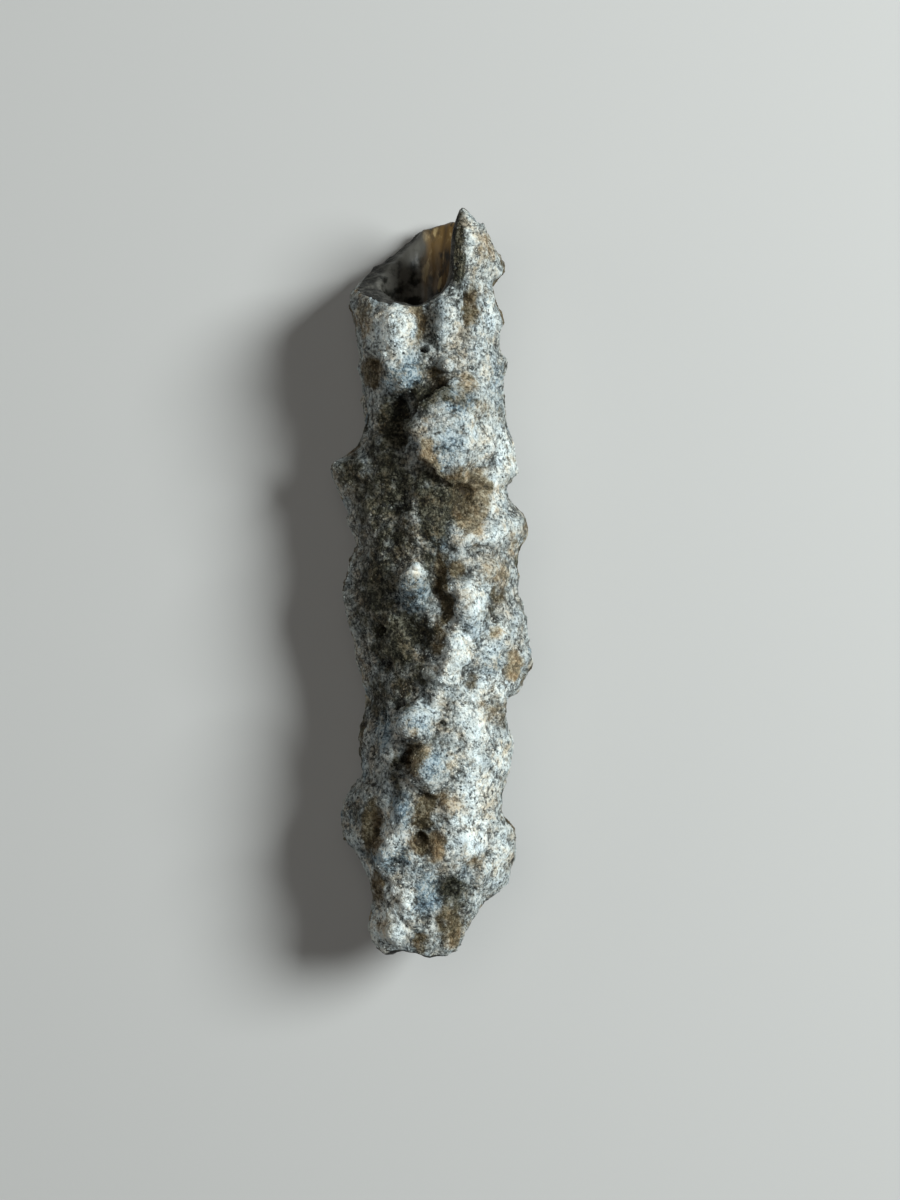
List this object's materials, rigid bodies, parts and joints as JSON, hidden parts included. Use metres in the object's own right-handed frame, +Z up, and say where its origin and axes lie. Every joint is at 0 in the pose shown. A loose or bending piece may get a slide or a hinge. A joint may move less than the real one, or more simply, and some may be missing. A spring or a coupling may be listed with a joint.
{
  "type": "fulgurite",
  "caption": "Hollow tube of desert sand fused by lightning, knobbly and sandy outside, glassy inside, broken across at both ends, lying on its side.",
  "frame": {"origin": "on the surface that the fulgurite lies on, under the middle of its bounding box", "axes": "+Y along the tube from its narrow broken tail to its wide slanting broken mouth, +X to its right, +Z up"},
  "size_m": [0.02, 0.074, 0.0169],
  "materials": {
    "fused_sand": "rough grey-brown crust of half-melted sand grains, with a smooth amber-brown glass lining in the bore"
  },
  "bodies": {
    "root": {"fulgurite": "fused_sand"}
  },
  "joints": []
}
